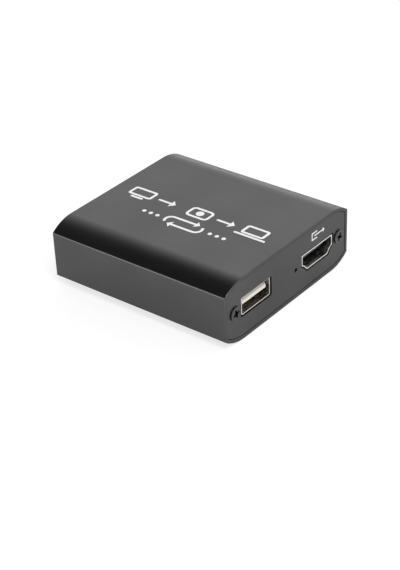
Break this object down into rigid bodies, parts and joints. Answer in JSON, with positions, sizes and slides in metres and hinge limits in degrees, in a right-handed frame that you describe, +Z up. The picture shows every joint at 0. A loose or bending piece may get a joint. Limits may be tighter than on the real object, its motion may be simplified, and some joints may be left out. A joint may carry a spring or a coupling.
{
  "type": "video capture box",
  "caption": "Flat box of extruded black aluminium with rounded long edges and screwed end plates, with sockets to capture a video signal and loop it through.",
  "frame": {"origin": "middle of the base, on the surface that the box stands on", "axes": "+X across the end plates, +Y along the sleeve from the output end to the input end, +Z up"},
  "size_m": [0.058, 0.0616, 0.0194],
  "materials": {
    "black_anodised": "black anodised, fine satin",
    "black_steel": "black plated, satin",
    "bright_steel": "nickel plated, smooth",
    "cream_plastic": "moulded, satin",
    "black_plastic": "moulded, satin",
    "gold_contact": "gold plated",
    "board_laminate": "glass-fibre laminate with a green coat",
    "chip_moulding": "moulded epoxy, matt",
    "clear_epoxy": "clear moulded epoxy",
    "tinned_metal": "tinned or bare, satin",
    "ferrite": "pressed ferrite, matt",
    "tan_ceramic": "fired ceramic with tinned ends",
    "dark_ceramic": "fired ceramic with tinned ends"
  },
  "bodies": {
    "root": {"sleeve": "black_anodised", "front_plate": "black_anodised", "rear_plate": "black_anodised", "front_screws": "black_steel", "rear_screws": "black_steel", "circuit_board": "board_laminate", "data_socket_shell": "bright_steel", "data_socket_insulator": "cream_plastic", "data_socket_contacts": "gold_contact", "output_socket_shell": "bright_steel", "output_socket_insulator": "black_plastic", "output_socket_contacts": "gold_contact", "input_socket_shell": "bright_steel", "input_socket_insulator": "black_plastic", "input_socket_contacts": "gold_contact", "power_socket_shell": "bright_steel", "power_socket_insulator": "black_plastic", "power_socket_contacts": "gold_contact", "status_led": "clear_epoxy", "led_leads": "tinned_metal", "capture_chip": "chip_moulding", "splitter_chip": "chip_moulding", "flash_memory": "chip_moulding", "voltage_regulators": "chip_moulding", "power_inductors": "ferrite", "storage_capacitors": "tinned_metal", "crystals": "tinned_metal", "chip_capacitors": "tan_ceramic", "chip_resistors": "dark_ceramic"}
  },
  "joints": []
}
